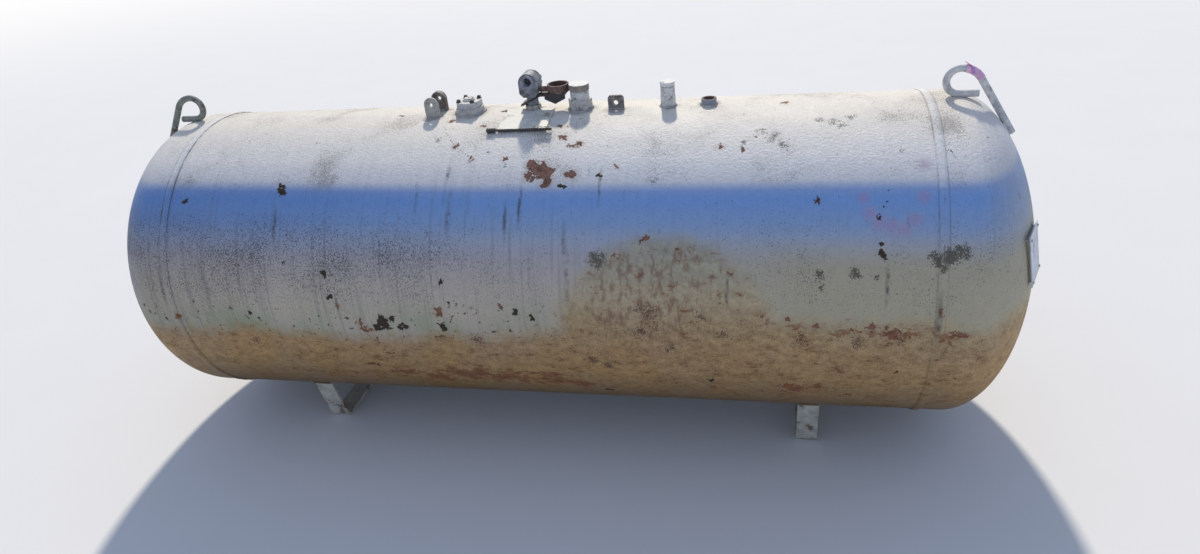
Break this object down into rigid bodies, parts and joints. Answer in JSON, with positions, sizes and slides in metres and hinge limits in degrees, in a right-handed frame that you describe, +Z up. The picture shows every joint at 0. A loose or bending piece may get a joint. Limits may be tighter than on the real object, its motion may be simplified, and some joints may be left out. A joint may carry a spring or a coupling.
{
  "type": "horizontal pressure tank",
  "caption": "Horizontal welded steel gas tank with domed ends, bent strap feet, hook shaped lifting lugs and a row of valves, caps and open fittings on top; weathered white paint.",
  "frame": {"origin": "on the floor under the middle of the tank", "axes": "+X along the tank towards the head with the bare plate, +Y to the back, +Z up"},
  "size_m": [2.272, 0.769, 0.921],
  "materials": {
    "tank_paint": "weathered off-white paint with mildew specks, rust spots and a tan dirt band underneath",
    "bar_paint": "dull grey-white paint over welded bar and fittings",
    "valve_metal": "dull weathered grey",
    "cap_metal": "chalky white paint",
    "bright_metal": "dull sheet, painted over in part",
    "dark_iron": "dirty near-black",
    "rusty_iron": "red-brown rust",
    "ribbon": "sun-bleached purple marking tape"
  },
  "bodies": {
    "root": {"shell": "tank_paint", "head_left": "tank_paint", "head_right": "tank_paint", "girth_weld_left": "tank_paint", "girth_weld_right": "tank_paint", "strap_foot_left": "tank_paint", "strap_foot_right": "tank_paint", "lifting_lug_left": "bar_paint", "lifting_lug_right": "bar_paint", "lug_ribbon": "ribbon", "hinge_ear_front": "bar_paint", "hinge_ear_rear": "bar_paint", "gauge_boss": "bar_paint", "gauge_head": "valve_metal", "gauge_dial": "bright_metal", "valve_coupling": "bar_paint", "valve_body": "valve_metal", "valve_port": "valve_metal", "valve_bonnet": "valve_metal", "valve_wheel": "valve_metal", "valve_bracket": "dark_iron", "outlet_arm": "rusty_iron", "outlet_cup": "rusty_iron", "filler_coupling": "bar_paint", "filler_body": "valve_metal", "filler_cap": "cap_metal", "hasp_tab": "bar_paint", "relief_coupling": "bar_paint", "relief_body": "valve_metal", "relief_cap": "cap_metal", "open_coupling": "rusty_iron", "crown_plate": "bright_metal", "plate_rod": "dark_iron", "badge_bracket": "tank_paint", "badge_plate": "tank_paint"}
  },
  "joints": []
}
